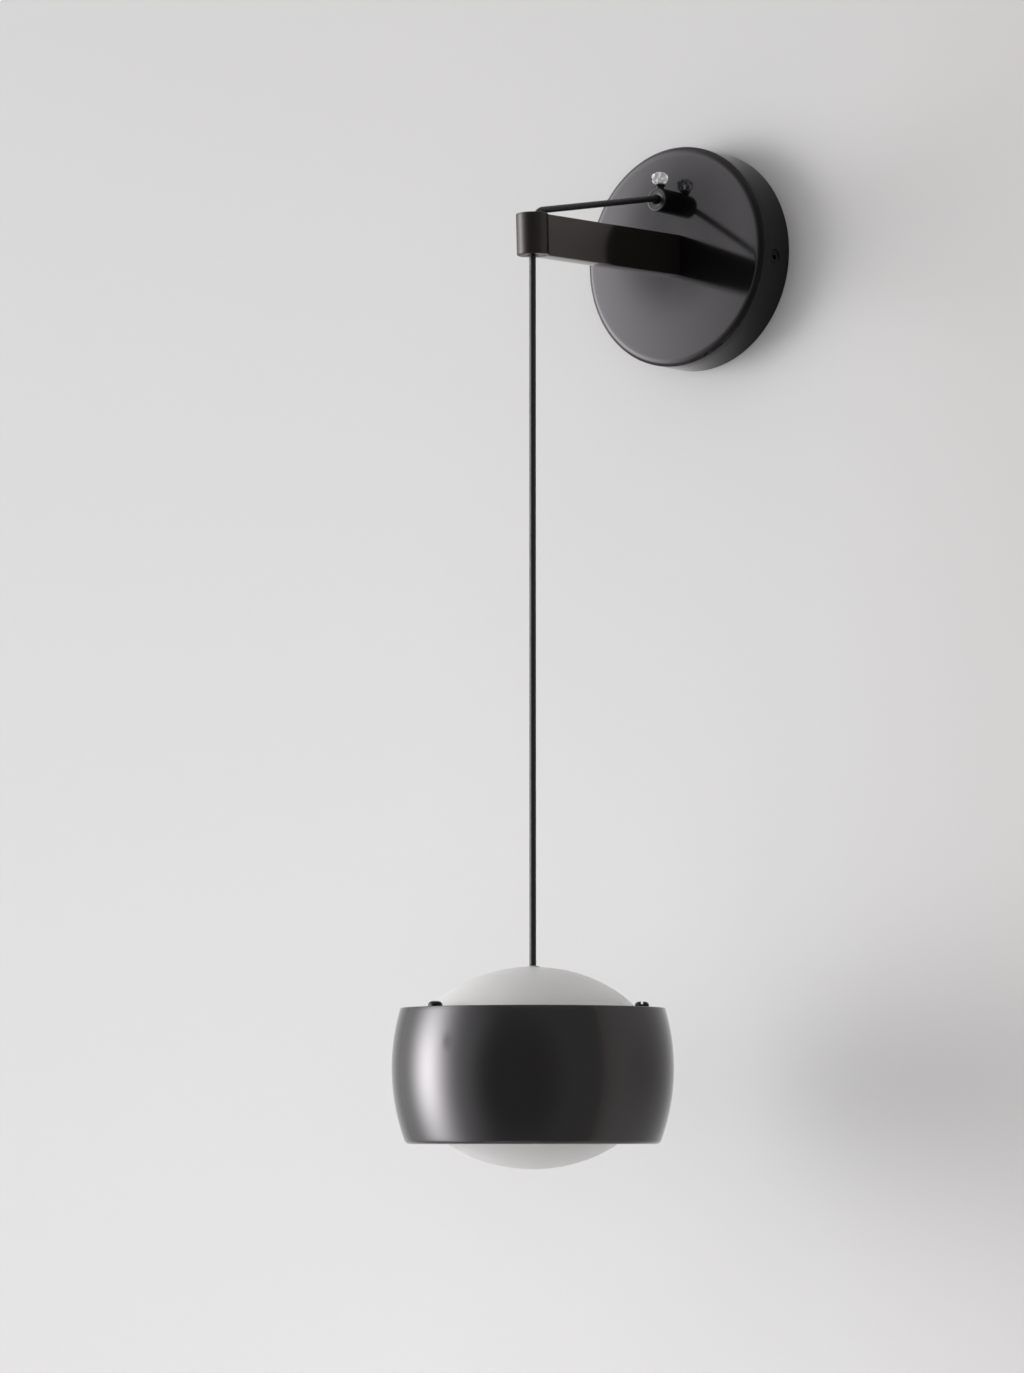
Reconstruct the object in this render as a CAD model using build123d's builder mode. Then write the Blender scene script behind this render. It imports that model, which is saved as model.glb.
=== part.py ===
from build123d import *
import os
from math import asin, cos, degrees, pi, radians, sin, sqrt, tan

os.makedirs("parts", exist_ok=True)

# A pendant wall light. X runs to the right, Y into the wall and Z up. The wall is the plane Y = 0
# and the origin is the middle of the bracket's two wall slots. Millimetres.

# Canopy, the shallow round cup on the wall
canopy_dia = 120.0
canopy_depth = 25.0
canopy_wall = 1.5
canopy_edge = 1.6  # bevel between the face and the side
face_fall_width = 12.4  # the face's outer ring, which falls away a little
face_fall = 0.5

# Wall bracket inside it
bracket_gap = 8.5  # bracket disc to the inside of the canopy
bracket_thick = 2.0
slot_spacing = 60.0
slot_width = 5.0
slot_length = 12.0
cable_hole_dia = 24.0
tab_width = 16.0
tab_foot = 8.0
tab_end = 5.6  # tab beyond its screw's axis
tab_drop = 5.5  # the two side tabs and their screws sit this far below the middle
tab_clearance = 0.4  # tab corners to the inside of the canopy

# Arm: a flat bar on edge with a round nose that the cord drops through
cord_reach = 145.0  # wall to the hanging cord
arm_sag_deg = 2.3  # the arm hangs nose down by this much
bar_height = 22.0
bar_thick = 10.0
bar_edge = 0.4
nose_dia = 17.0
nose_edge = 0.5
bore_gap = 0.75  # bore round the cord
bore_flare = 3.0  # rounding of the bore's upper mouth, which the cord bends over
mouth_flare = 1.2  # rounding of the lower mouth

# Cord
cord_dia = 3.5
cord_clearance = 0.3  # round the cord where it runs through the grip
grommet_gap = 0.25  # round the cord where it turns in the glass
grip_exit_bend = 20.0
seat_gap = 0.1  # between the ball and the cup where the cord bends

# Cord grip on the canopy's face, above the arm
grip_height = 29.0
grip_dia = 13.0
grip_length = 14.1
grip_edge = 0.5
grip_thread_dia = 10.0
grip_inside = 4.0  # threaded end inside the canopy
grip_hole_gap = 0.2  # canopy hole over the thread
grip_nut_size = 14.0  # across flats
grip_nut_thick = 3.0
clamp_back = 3.2  # clamp screw's axis behind the grip's front
clamp_shank_dia = 4.4
clamp_fit = 0.05  # running clearance round its shank
clamp_collar_dia = 6.0
clamp_collar = 1.4
clamp_head_dia = 9.2
clamp_head = 6.4
clamp_lobe_dia = 3.2
clamp_lobes = 6
clamp_lift = 0.9  # collar above the grip
clamp_tip_gap = 0.3  # tip above the cord

# Screws, M4
screw_dia = 4.0
screw_clear = 0.4  # clearance hole over the screw
pan_dia = 7.4
pan_height = 3.0
slot_cut_width = 1.1
slot_cut_share = 0.45  # of the head's height
head_round_share = 0.6  # of the head's height
countersunk_dia = 8.0
countersunk_set = 0.35  # head below the canopy's side
hex_socket = 2.5
arm_screw_edge = 4.5  # arm screws' axes to the bar's top and bottom
arm_screw_bite = 12.0
arm_plate_side = 4.0  # plate beyond the bar, each side
arm_plate_margin = 3.0  # and above and below it
arm_plate_corner = 2.0
arm_plate_thick = 2.0
tip_gap = 1.0  # a screw's tip to the end of its hole, or past what it is threaded in
overcut = 1.0  # a cut's run past the piece it cuts

# What the canopy holds
driver_width = 54.0
driver_height = 26.0
driver_thick = 16.0
driver_edge = 1.5
driver_gap = 4.9  # its lower corners to the inside of the canopy
driver_ear = 7.0
driver_ear_height = 8.0
driver_ear_thick = 2.0
driver_ear_lift = 4.0  # ears above the driver's middle
small_screw_dia = 3.0
small_head_dia = 5.6
small_head = 2.2
small_screw_bite = 1.8
wire_dia = 1.8
wire_gap = 0.2
wire_out = 9.0  # wires' middle to the wall
wire_end = 4.0  # wire inside the block
wire_drop = 9.0  # straight below the block
wire_turn_z = -15.0
wire_turns_x = (-45.0, -41.0)
wire_spacing = 4.0  # where they enter the driver
cord_inner_turns = [(22.0, -7.0, 24.0), (40.0, -8.0, 6.0), (44.0, -9.0, -16.0)]
cord_inner_lead = 8.0  # from the wall, where it leaves the grip's height
cord_inner_out = 10.0  # from the wall, where it enters the driver
cord_inner_side = 13.0  # its last bend to the driver's side
block_width = 26.0
block_height = 16.0
block_thick = 13.0
block_edge = 1.0
block_place = (-30.0, 16.0)
block_way = 7.5  # each clamp's place either side of the middle
block_screw_hole_dia = 3.6
earth_x = 16.0
earth_gap = 3.0  # washer to the driver below it
earth_washer_dia = 9.0
earth_washer_thick = 1.0

# Pendant: an opal glass spheroid in a barrel-shaped metal band
pendant_middle = -440.5  # height of the glass's widest circle
glass_dia = 133.0
glass_height = 104.2
glass_wall = 3.0
band_room = 6.4  # the glass's widest circle to the outside of the band
band_barrel = 108.0  # radius of the band's barrel curve
band_rise = 30.8  # rim above the widest circle
band_drop = 39.2  # bottom below it
band_wall = 1.5
band_corner = 3.0
rim_edge = 0.3
flange_gap = 0.8  # the in-turned foot to the glass that stands in it
rim_recess = 0.3  # top ring below the rim
ring_thick = 1.5
ring_fit = 0.2
rim_screw_count = 3
rim_screw_turn = 15.0
rim_screw_length = 5.0
lug_thick = 2.0
lug_leaf = 10.0
lug_angle = 12.0
lug_margin = 1.2  # lug beyond its tapped hole
lug_gap = 0.25  # lug to the gasket beside it
foot_gasket_width = 3.2
ring_gasket_width = 1.8

# Carrier between the two glass domes, with the lamp boards
carrier_lip = 0.5  # carrier's edge beyond the glass
carrier_thick = 2.0
joint_gasket = 0.6
joint_gasket_lap = 1.0  # gasket past the inside of the glass
board_dia = 62.0
board_thick = 1.6
board_hole_dia = 18.0
chip_size = 5.0
chip_thick = 0.8
chip_pitch_dia = 46.0
chip_count = 10
gland_size = 12.0
gland_height = 14.0
gland_round = 1.5
gland_thread_dia = 8.0
gland_nut_size = 13.0
gland_nut_thick = 3.0
gland_tail = 5.0
grommet_lip = 0.5  # flange beyond the sleeve
grommet_flange = 0.5
grommet_wall = 1.0

# Where the cord bends and where its stretches meet
bend_height = -18.0
neck_length = 24.0
tail_above = 16.0  # cord above the glass that rises with it
tail_below = 8.0  # cord inside the glass before the pendant's own lead

# Worked out from the above
canopy_r = canopy_dia / 2
inner_r = canopy_r - canopy_wall
cord_r = cord_dia / 2
face_y = -canopy_depth
inside_y = face_y + canopy_wall
face_flat_r = canopy_r - canopy_edge - face_fall_width
bracket_r = inner_r - bracket_gap
bore_r = cord_r + bore_gap
arm_screw_spacing = bar_height - 2 * arm_screw_edge
sag = radians(arm_sag_deg)
nose_out = (cord_reach - canopy_depth) / cos(sag)
nose_middle = -(cord_reach - canopy_depth) * tan(sag)
glass_a, glass_c = glass_dia / 2, glass_height / 2
glass_top = pendant_middle + glass_c
band_dia = glass_dia + 2 * band_room
rim_z = pendant_middle + band_rise
foot_z = pendant_middle - band_drop
ring_top = rim_z - rim_recess
ring_bottom = ring_top - ring_thick
band_centre = band_dia / 2 - band_barrel
band_inner = band_barrel - band_wall
neck_end = bend_height - neck_length
tail_start = glass_top + tail_above
tail_end = glass_top - tail_below
tab_x = sqrt(inner_r**2 - (tab_drop + tab_width / 2) ** 2) - tab_clearance
screw_r = screw_dia / 2
driver_bottom = driver_gap - sqrt(inner_r**2 - (driver_width / 2) ** 2)
driver_middle = driver_bottom + driver_height / 2
ear_x = (driver_width + driver_ear) / 2
ear_z = driver_middle + driver_ear_lift
ear_places = [(-ear_x, ear_z), (ear_x, ear_z)]
earth_z = driver_bottom + driver_height + earth_gap + earth_washer_dia / 2

wall = Plane.XZ  # its normal points out from the wall
arm_root = Plane(origin=(0, face_y, 0), x_dir=(1, 0, 0), z_dir=(0, -cos(sag), -sin(sag)))
upright = Plane(origin=(0, -cord_reach, 0), x_dir=(1, 0, 0), z_dir=(0, -1, 0))
hang_axis = Axis((0, -cord_reach, 0), (0, 0, 1))


def level(z):
    """Horizontal plane at height z on the hanging cord's axis."""
    return Plane.XY.move(Location((0, -cord_reach, z)))


def glass_radius(z):
    """Outer radius of the glass at height z."""
    return glass_a * sqrt(1 - ((z - pendant_middle) / glass_c) ** 2)


def save(piece, name):
    piece.label = name
    export_step(piece, f"parts/{name}.step")


# ---- Canopy and wall bracket ------------------------------------------------------------------


def cup_profile(radius, depth, edge):
    """Half section of the canopy's outside, from its axis to its rim, drawn in XY."""
    side = depth - face_fall - edge
    with BuildSketch() as profile:
        with BuildLine():
            Polyline((0, -depth), (0, 0), (radius, 0), (radius, -side), (radius - edge, -side - edge))
            TangentArc((face_flat_r, -depth), (radius - edge, -side - edge), tangent=(1, 0))
            Line((face_flat_r, -depth), (0, -depth))
        make_face()
    return profile.sketch


with BuildPart() as wall_bracket:
    with BuildSketch(wall):
        Circle(bracket_r)
        with Locations((0, -tab_drop)):
            Rectangle(2 * tab_x, tab_width)
        with Locations((-slot_spacing / 2, 0), (slot_spacing / 2, 0)):
            SlotOverall(slot_length, slot_width, mode=Mode.SUBTRACT)
        Circle(cable_hole_dia / 2, mode=Mode.SUBTRACT)
        with Locations((earth_x, earth_z)):
            Circle(screw_r, mode=Mode.SUBTRACT)
        with Locations(block_place, *ear_places):
            Circle(small_screw_dia / 2, mode=Mode.SUBTRACT)
    extrude(amount=bracket_thick)
save(wall_bracket.part, "wall_bracket")

with BuildPart() as bracket_tabs:
    with BuildSketch(wall.offset(bracket_thick)):
        with Locations((tab_x, -tab_drop)):
            Rectangle(tab_foot, tab_width, align=(Align.MAX, Align.CENTER))
    extrude(amount=bracket_thick)
    with BuildSketch(wall.offset(bracket_thick)):
        with Locations((tab_x, -tab_drop)):
            Rectangle(bracket_thick, tab_width, align=(Align.MAX, Align.CENTER))
    extrude(amount=canopy_depth / 2 + tab_end - bracket_thick)
    with BuildSketch(Plane.YZ):
        with Locations((-canopy_depth / 2, -tab_drop)):
            Circle(screw_r)
    extrude(amount=canopy_r, mode=Mode.SUBTRACT)
    mirror(about=Plane.YZ)
save(bracket_tabs.part, "bracket_tabs")

head_drop = countersunk_dia / 2 - screw_r  # 90 degree countersunk head
side_x = sqrt(canopy_r**2 - tab_drop**2) - countersunk_set
side_axis = Axis((0, -canopy_depth / 2, -tab_drop), (1, 0, 0))


def countersunk_profile(points):
    """Half section about the side screw's axis: (distance from the middle, radius) points."""
    with BuildSketch(Plane.XY.move(Location((0, -canopy_depth / 2, -tab_drop)))) as profile:
        with BuildLine():
            Polyline(*points, close=True)
        make_face()
    return profile.sketch


with BuildPart() as side_screws:
    screw_end = tab_x - bracket_thick - tip_gap
    head = (side_x, countersunk_dia / 2)
    neck = (side_x - head_drop, screw_r)
    add(countersunk_profile([(side_x, 0), head, neck, (screw_end, screw_r), (screw_end, 0)]))
    revolve(axis=side_axis)
    with BuildSketch(Plane.YZ.offset(side_x)):
        with Locations((-canopy_depth / 2, -tab_drop)):
            RegularPolygon(hex_socket / 2, 6, major_radius=False)
    extrude(amount=-head_drop, mode=Mode.SUBTRACT)
    mirror(about=Plane.YZ)
save(side_screws.part, "side_screws")

with BuildPart(mode=Mode.PRIVATE) as side_sinks:
    hole_r = screw_r + screw_clear / 2
    head = (side_x, countersunk_dia / 2 + screw_clear / 2)
    mouth = (canopy_r + overcut, countersunk_dia / 2 + screw_clear / 2)
    sink_end = inner_r - 2 * overcut
    points = [(canopy_r + overcut, 0), mouth, head, (side_x - head_drop, hole_r), (sink_end, hole_r)]
    add(countersunk_profile(points + [(sink_end, 0)]))
    revolve(axis=side_axis)
    mirror(about=Plane.YZ)

with BuildPart() as canopy_cover:
    add(cup_profile(canopy_r, canopy_depth, canopy_edge))
    revolve(axis=Axis.Y)
    add(cup_profile(inner_r, canopy_depth - canopy_wall, canopy_edge))
    revolve(axis=Axis.Y, mode=Mode.SUBTRACT)
    with BuildSketch(wall):
        with Locations((0, grip_height)):
            Circle((grip_thread_dia + grip_hole_gap) / 2)
        with Locations((0, -arm_screw_spacing / 2), (0, arm_screw_spacing / 2)):
            Circle((screw_dia + screw_clear) / 2)
    extrude(amount=canopy_depth + overcut, mode=Mode.SUBTRACT)
    add(side_sinks.part, mode=Mode.SUBTRACT)
save(canopy_cover.part, "canopy_cover")


# ---- Arm ----------------------------------------------------------------------------------------

outside = Plane(origin=(0, face_y, 0), x_dir=(1, 0, 0), z_dir=(0, -1, 0))
nose_end = arm_root.offset(nose_out)
nose_top = Plane(
    origin=nose_end.from_local_coords((0, bar_height / 2, 0)),
    x_dir=(1, 0, 0),
    z_dir=nose_end.y_dir,
)

with BuildPart() as arm_nose:
    with BuildSketch(nose_top):
        Circle(nose_dia / 2)
    extrude(amount=-bar_height)
    chamfer(arm_nose.edges(), nose_edge)
    with BuildSketch(nose_top):
        Circle(bore_r)
    extrude(amount=-bar_height, mode=Mode.SUBTRACT)
    mouths = arm_nose.edges().filter_by(GeomType.CIRCLE).group_by(lambda e: round(e.radius, 3))[0]
    fillet(mouths.sort_by(Axis.Z)[-1], bore_flare)
    mouths = arm_nose.edges().filter_by(GeomType.CIRCLE).group_by(lambda e: round(e.radius, 3))[0]
    fillet(mouths.sort_by(Axis.Z)[0], mouth_flare)
save(arm_nose.part, "arm_nose")

with BuildPart() as arm_bar:
    with BuildSketch(arm_root.offset(-bar_height * tan(sag))):
        Rectangle(bar_thick, bar_height)
    extrude(amount=nose_out + bar_height * tan(sag))
    chamfer(arm_bar.edges().filter_by(Axis(arm_root.origin, arm_root.z_dir)), bar_edge)
    split(bisect_by=outside, keep=Keep.TOP)
    with BuildSketch(nose_top.offset(overcut)):
        Circle(nose_dia / 2)
    extrude(amount=-bar_height - 2 * overcut, mode=Mode.SUBTRACT)
    with BuildSketch(outside):
        with Locations((0, -arm_screw_spacing / 2), (0, arm_screw_spacing / 2)):
            Circle(screw_r)
    extrude(amount=arm_screw_bite, mode=Mode.SUBTRACT)
save(arm_bar.part, "arm_bar")

with BuildPart() as arm_plate:
    with BuildSketch(Plane.XZ.offset(-inside_y)):
        plate_width = bar_thick + 2 * arm_plate_side
        plate_height = bar_height + 2 * arm_plate_margin
        RectangleRounded(plate_width, plate_height, arm_plate_corner)
        with Locations((0, -arm_screw_spacing / 2), (0, arm_screw_spacing / 2)):
            Circle((screw_dia + screw_clear) / 2, mode=Mode.SUBTRACT)
    extrude(amount=-arm_plate_thick)
save(arm_plate.part, "arm_plate")


def pan_screw(length, dia=screw_dia, head_dia=pan_dia, head=pan_height):
    """Slotted pan head screw, its head's seat at the origin and its shank down -Z."""
    with BuildPart(mode=Mode.PRIVATE) as screw:
        with BuildSketch():
            Circle(head_dia / 2)
        extrude(amount=head)
        fillet(screw.faces().sort_by(Axis.Z)[-1].edges(), head * head_round_share)
        with BuildSketch(Plane.XY.offset(head)):
            Rectangle(head_dia + overcut, slot_cut_width)
        extrude(amount=-head * slot_cut_share, mode=Mode.SUBTRACT)
        with BuildSketch():
            Circle(dia / 2)
        extrude(amount=-length)
    return screw.part


arm_screw_length = arm_plate_thick + canopy_wall + arm_screw_bite - tip_gap
plate_back = Plane(
    origin=(0, inside_y + arm_plate_thick, 0), x_dir=(1, 0, 0), z_dir=(0, 1, 0)
)
with BuildPart() as arm_screws:
    with Locations(plate_back):
        with Locations((0, -arm_screw_spacing / 2), (0, arm_screw_spacing / 2)):
            add(pan_screw(arm_screw_length))
save(arm_screws.part, "arm_screws")


# ---- Cord grip ----------------------------------------------------------------------------------

grip_front = face_y - grip_length
clamp_y = grip_front + clamp_back
grip_bore_r = cord_r + cord_clearance
grip_plane = Plane(origin=(0, face_y, grip_height), x_dir=(1, 0, 0), z_dir=(0, -1, 0))
clamp_bottom = grip_height + cord_r + clamp_tip_gap
collar_z = grip_height + grip_dia / 2 + clamp_lift

with BuildPart() as grip_body:
    with BuildSketch(grip_plane):
        Circle(grip_dia / 2)
    extrude(amount=grip_length)
    chamfer(grip_body.faces().sort_by(Axis.Y)[0].edges(), grip_edge)
    with BuildSketch(grip_plane):
        Circle(grip_thread_dia / 2)
    extrude(amount=-(canopy_wall + grip_inside))
    with BuildSketch(grip_plane.offset(grip_length)):
        Circle(grip_bore_r)
    extrude(amount=-(grip_length + canopy_wall + grip_inside), mode=Mode.SUBTRACT)
    with BuildSketch(Plane.XY.offset(grip_height)):
        with Locations((0, clamp_y)):
            Circle(clamp_shank_dia / 2 + clamp_fit)
    extrude(amount=grip_dia, mode=Mode.SUBTRACT)
save(grip_body.part, "grip_body")

with BuildPart() as grip_nut:
    with BuildSketch(Plane.XZ.offset(-inside_y)):
        with Locations((0, grip_height)):
            RegularPolygon(grip_nut_size / 2, 6, major_radius=False)
            Circle(grip_thread_dia / 2, mode=Mode.SUBTRACT)
    extrude(amount=-grip_nut_thick)
save(grip_nut.part, "grip_nut")

with BuildPart() as grip_clamp_screw:
    with BuildSketch(Plane.XY.offset(clamp_bottom)):
        with Locations((0, clamp_y)):
            Circle(clamp_shank_dia / 2)
    extrude(amount=collar_z - clamp_bottom)
    with BuildSketch(Plane.XY.offset(collar_z)):
        with Locations((0, clamp_y)):
            Circle(clamp_collar_dia / 2)
    extrude(amount=clamp_collar)
    with BuildSketch(Plane.XY.offset(collar_z + clamp_collar)):
        with Locations((0, clamp_y)):
            Circle((clamp_head_dia - clamp_lobe_dia / 2) / 2)
            with PolarLocations((clamp_head_dia - clamp_lobe_dia) / 2, clamp_lobes):
                Circle(clamp_lobe_dia / 2)
    extrude(amount=clamp_head)
    fillet(grip_clamp_screw.faces().sort_by(Axis.Z)[-1].edges(), grip_edge)
save(grip_clamp_screw.part, "grip_clamp_screw")


# ---- Inside the canopy --------------------------------------------------------------------------

bracket_front = Plane.XZ.offset(bracket_thick)

with BuildPart() as terminal_block:
    with BuildSketch(bracket_front):
        with Locations(block_place):
            Rectangle(block_width, block_height)
    extrude(amount=block_thick)
    fillet(terminal_block.edges().filter_by(Axis.Y), block_edge)
    with BuildSketch(bracket_front.offset(block_thick)):
        with Locations(block_place):
            Circle(small_screw_dia / 2)
    extrude(amount=-block_thick, mode=Mode.SUBTRACT)
    way_places = [block_place[0] + side * block_way for side in (-1, 1)]
    with BuildSketch(bracket_front.offset(block_thick)):
        with Locations(*[(x, block_place[1]) for x in way_places]):
            Circle(block_screw_hole_dia / 2)
    extrude(amount=-block_thick / 2, mode=Mode.SUBTRACT)
    block_foot = block_place[1] - block_height / 2
    with BuildSketch(Plane.XY.offset(block_foot)):
        with Locations(*[(x, -wire_out) for x in way_places]):
            Circle(wire_dia / 2 + wire_gap)
    extrude(amount=block_height / 2, mode=Mode.SUBTRACT)
save(terminal_block.part, "terminal_block")

with BuildPart() as led_driver:
    with BuildSketch(bracket_front):
        with Locations((0, driver_middle)):
            Rectangle(driver_width, driver_height)
    extrude(amount=driver_thick)
    fillet(led_driver.edges(), driver_edge)
    with BuildSketch(bracket_front):
        with Locations((0, ear_z)):
            Rectangle(driver_width + 2 * driver_ear, driver_ear_height)
        with Locations(*ear_places):
            Circle(small_screw_dia / 2, mode=Mode.SUBTRACT)
    extrude(amount=driver_ear_thick)
save(led_driver.part, "led_driver")


def facing_room(x, y, z):
    """Plane at a point, its normal out from the wall."""
    return Plane(origin=(x, y, z), x_dir=(1, 0, 0), z_dir=(0, -1, 0))


small_head_sizes = (small_screw_dia, small_head_dia, small_head)
ear_front = -bracket_thick - driver_ear_thick
with BuildPart() as driver_screws:
    for x, z in ear_places:
        with Locations(facing_room(x, ear_front, z)):
            add(pan_screw(driver_ear_thick + small_screw_bite, *small_head_sizes))
save(driver_screws.part, "driver_screws")

with BuildPart() as block_screw:
    with Locations(facing_room(block_place[0], -bracket_thick - block_thick, block_place[1])):
        add(pan_screw(block_thick + small_screw_bite, *small_head_sizes))
save(block_screw.part, "block_screw")

earth_front = -bracket_thick - earth_washer_thick
with BuildPart() as earth_terminal:
    with Locations(facing_room(earth_x, earth_front, earth_z)):
        add(pan_screw(earth_washer_thick + small_screw_bite))
    with BuildSketch(bracket_front):
        with Locations((earth_x, earth_z)):
            Circle(earth_washer_dia / 2)
    extrude(amount=earth_washer_thick)
save(earth_terminal.part, "earth_terminal")


# ---- Cord -----------------------------------------------------------------------------------------


def cord_tube(name, points, dia, bends=None):
    """Round tube on straight runs and tangent arcs. bends gives the corners' own radii."""
    corners = [Vector(*point) for point in points]
    if bends is None:
        bends = []
        for before, corner, after in zip(corners, corners[1:], corners[2:]):
            turn = (corner - before).get_angle(after - corner)
            shorter = min((corner - before).length, (after - corner).length)
            bends.append(0.45 * shorter / tan(radians(turn) / 2))
    with BuildPart(mode=Mode.PRIVATE) as tube:
        with BuildLine():
            path = FilletPolyline(*corners, radius=bends)
        with BuildSketch(Plane(origin=path @ 0, z_dir=path % 0)):
            Circle(dia / 2)
        sweep(path=path)
    share = tube.part.volume / (pi * dia**2 / 4 * path.length)
    radii = [round(bend, 1) for bend in bends]
    print(f"{name}: {path.length:.1f} mm, radii {radii}, volume over section x length {share:.4f}")
    return tube.part


flare_centre = nose_top.from_local_coords((0, bore_r + bore_flare, -bore_flare))
nose_bend = cord_reach + flare_centre.Y  # the cord bends round the bore's mouth at this radius
grip_exit = Vector(0, grip_front, grip_height)
to_flare = grip_exit - flare_centre
fall = to_flare.get_angle(Vector(0, 1, 0)) - degrees(asin(nose_bend / to_flare.length))
corner_z = grip_height - (cord_reach + grip_front) * tan(radians(fall))
cup_rise = sqrt((cord_r + seat_gap) ** 2 - cord_r**2)
grip_back = inside_y + grip_inside

with BuildPart() as cord_upper:
    route = [
        (0, grip_back, grip_height),
        (0, grip_front, grip_height),
        (0, -cord_reach, corner_z),
        (0, -cord_reach, bend_height + cup_rise),
    ]
    add(cord_tube("cord_upper", route, cord_dia, [grip_exit_bend, nose_bend]))
    with Locations((0, -cord_reach, bend_height)):
        Sphere(cord_r + seat_gap, mode=Mode.SUBTRACT)
save(cord_upper.part, "cord_upper")

with BuildPart() as cord_inner:
    route = [
        (0, grip_back, grip_height),
        (0, -cord_inner_lead, grip_height),
        *cord_inner_turns,
        (driver_width / 2 + cord_inner_side, -cord_inner_out, driver_middle),
        (driver_width / 2, -cord_inner_out, driver_middle),
    ]
    add(cord_tube("cord_inner", route, cord_dia))
save(cord_inner.part, "cord_inner")

with BuildPart() as supply_wires:
    for x, turn_x, lift in zip(way_places, wire_turns_x, (0, wire_spacing)):
        route = [
            (x, -wire_out, block_foot + wire_end),
            (x, -wire_out, block_foot - wire_drop),
            (turn_x, -wire_out, wire_turn_z),
            (turn_x, -wire_out, driver_middle + lift),
            (-driver_width / 2, -wire_out, driver_middle + lift),
        ]
        add(cord_tube("supply_wires", route, wire_dia))
save(supply_wires.part, "supply_wires")

with BuildPart() as cord_neck:
    with BuildSketch(level(bend_height)):
        Circle(cord_r)
    extrude(amount=-(neck_length - cup_rise))
    with Locations((0, -cord_reach, bend_height)):
        Sphere(cord_r)
    with Locations((0, -cord_reach, neck_end)):
        Sphere(cord_r + seat_gap, mode=Mode.SUBTRACT)
save(cord_neck.part, "cord_neck")

with BuildPart() as cord_drop:
    with BuildSketch(level(neck_end)):
        Circle(cord_r)
    extrude(amount=-(neck_end - tail_start))
    with Locations((0, -cord_reach, neck_end)):
        Sphere(cord_r)
save(cord_drop.part, "cord_drop")

with BuildPart() as cord_tail:
    with BuildSketch(level(tail_start)):
        Circle(cord_r)
    extrude(amount=-(tail_start - tail_end))
save(cord_tail.part, "cord_tail")


# ---- Pendant: the band and its rim ----------------------------------------------------------------


def barrel(radius, low, high):
    """Half section of a barrel of that curve radius between two heights, from the axis out."""
    with BuildSketch() as section:
        with Locations((band_centre, pendant_middle)):
            Circle(radius)
        with Locations((0, (low + high) / 2)):
            Rectangle(band_dia, high - low, align=(Align.MIN, Align.CENTER), mode=Mode.INTERSECT)
    return section.sketch


def spheroid(radius, half_height):
    """Half section of the glass's spheroid, from the axis out."""
    with BuildSketch() as section:
        with Locations((0, pendant_middle)):
            Ellipse(radius, half_height)
            half_box = (2 * radius, 3 * half_height)
            Rectangle(*half_box, align=(Align.MIN, Align.CENTER), mode=Mode.INTERSECT)
    return section.sketch


glass_outside = spheroid(glass_a, glass_c)
glass_inside = spheroid(glass_a - glass_wall, glass_c - glass_wall)
foot_inner = glass_radius(foot_z + band_wall) + flange_gap
ring_inner = glass_radius(ring_bottom) + flange_gap
band_inner_top = band_centre + sqrt(band_inner**2 - (ring_top - pendant_middle) ** 2)
lug_inner = ring_inner + ring_gasket_width + lug_gap
pitch_r = lug_inner + lug_margin + screw_r

with BuildPart() as shade_band:
    with BuildSketch(upright) as section:
        add(barrel(band_barrel, foot_z, rim_z))
        add(barrel(band_inner, foot_z + band_wall, rim_z + overcut), mode=Mode.SUBTRACT)
        with Locations((0, foot_z)):
            Rectangle(2 * foot_inner, 3 * band_wall, mode=Mode.SUBTRACT)
        corners = section.vertices().group_by(Axis.Y)
        fillet(corners[0].sort_by(Axis.X)[-1], band_corner)
        chamfer(corners[-1], rim_edge)
    revolve(axis=hang_axis)
save(shade_band.part, "shade_band")

rim_angles = [rim_screw_turn + 360 / rim_screw_count * n for n in range(rim_screw_count)]


def on_rim(z, angle):
    """Level plane at height z on the rim screws' circle, at an angle from X towards the wall."""
    turn = radians(angle)
    return level(z).move(Location((pitch_r * cos(turn), pitch_r * sin(turn), 0)))


with BuildPart(mode=Mode.PRIVATE) as rim_lug:
    with BuildSketch(upright):
        add(barrel(band_inner, ring_bottom - lug_leaf, ring_bottom))
        with Locations((0, ring_bottom)):
            Rectangle(2 * lug_inner, 4 * lug_leaf, mode=Mode.SUBTRACT)
        with Locations((0, ring_bottom - lug_thick)):
            Rectangle(
                2 * (band_inner_top - lug_thick),
                4 * lug_leaf,
                align=(Align.CENTER, Align.MAX),
                mode=Mode.SUBTRACT,
            )
    revolve(axis=hang_axis, revolution_arc=lug_angle)
    with BuildSketch(on_rim(ring_bottom, lug_angle / 2)):
        Circle(screw_r)
    extrude(amount=-lug_leaf, mode=Mode.SUBTRACT)

with BuildPart() as rim_lugs:
    for angle in rim_angles:
        add(rim_lug.part.rotate(hang_axis, angle - lug_angle / 2))
save(rim_lugs.part, "rim_lugs")

with BuildPart() as top_ring:
    with BuildSketch(level(ring_bottom)):
        Circle(band_inner_top - ring_fit)
        Circle(ring_inner, mode=Mode.SUBTRACT)
    extrude(amount=ring_thick)
    for angle in rim_angles:
        with BuildSketch(on_rim(ring_top, angle)):
            Circle((screw_dia + screw_clear) / 2)
        extrude(amount=-ring_thick, mode=Mode.SUBTRACT)
save(top_ring.part, "top_ring")

with BuildPart() as rim_screws:
    for angle in rim_angles:
        with Locations(on_rim(ring_top, angle)):
            add(pan_screw(rim_screw_length))
save(rim_screws.part, "rim_screws")


# ---- Pendant: glass and gaskets -------------------------------------------------------------------

dome_gap = carrier_thick / 2 + joint_gasket
grommet_hole_r = cord_r + grommet_gap + grommet_wall
far = 2 * glass_dia


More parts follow.
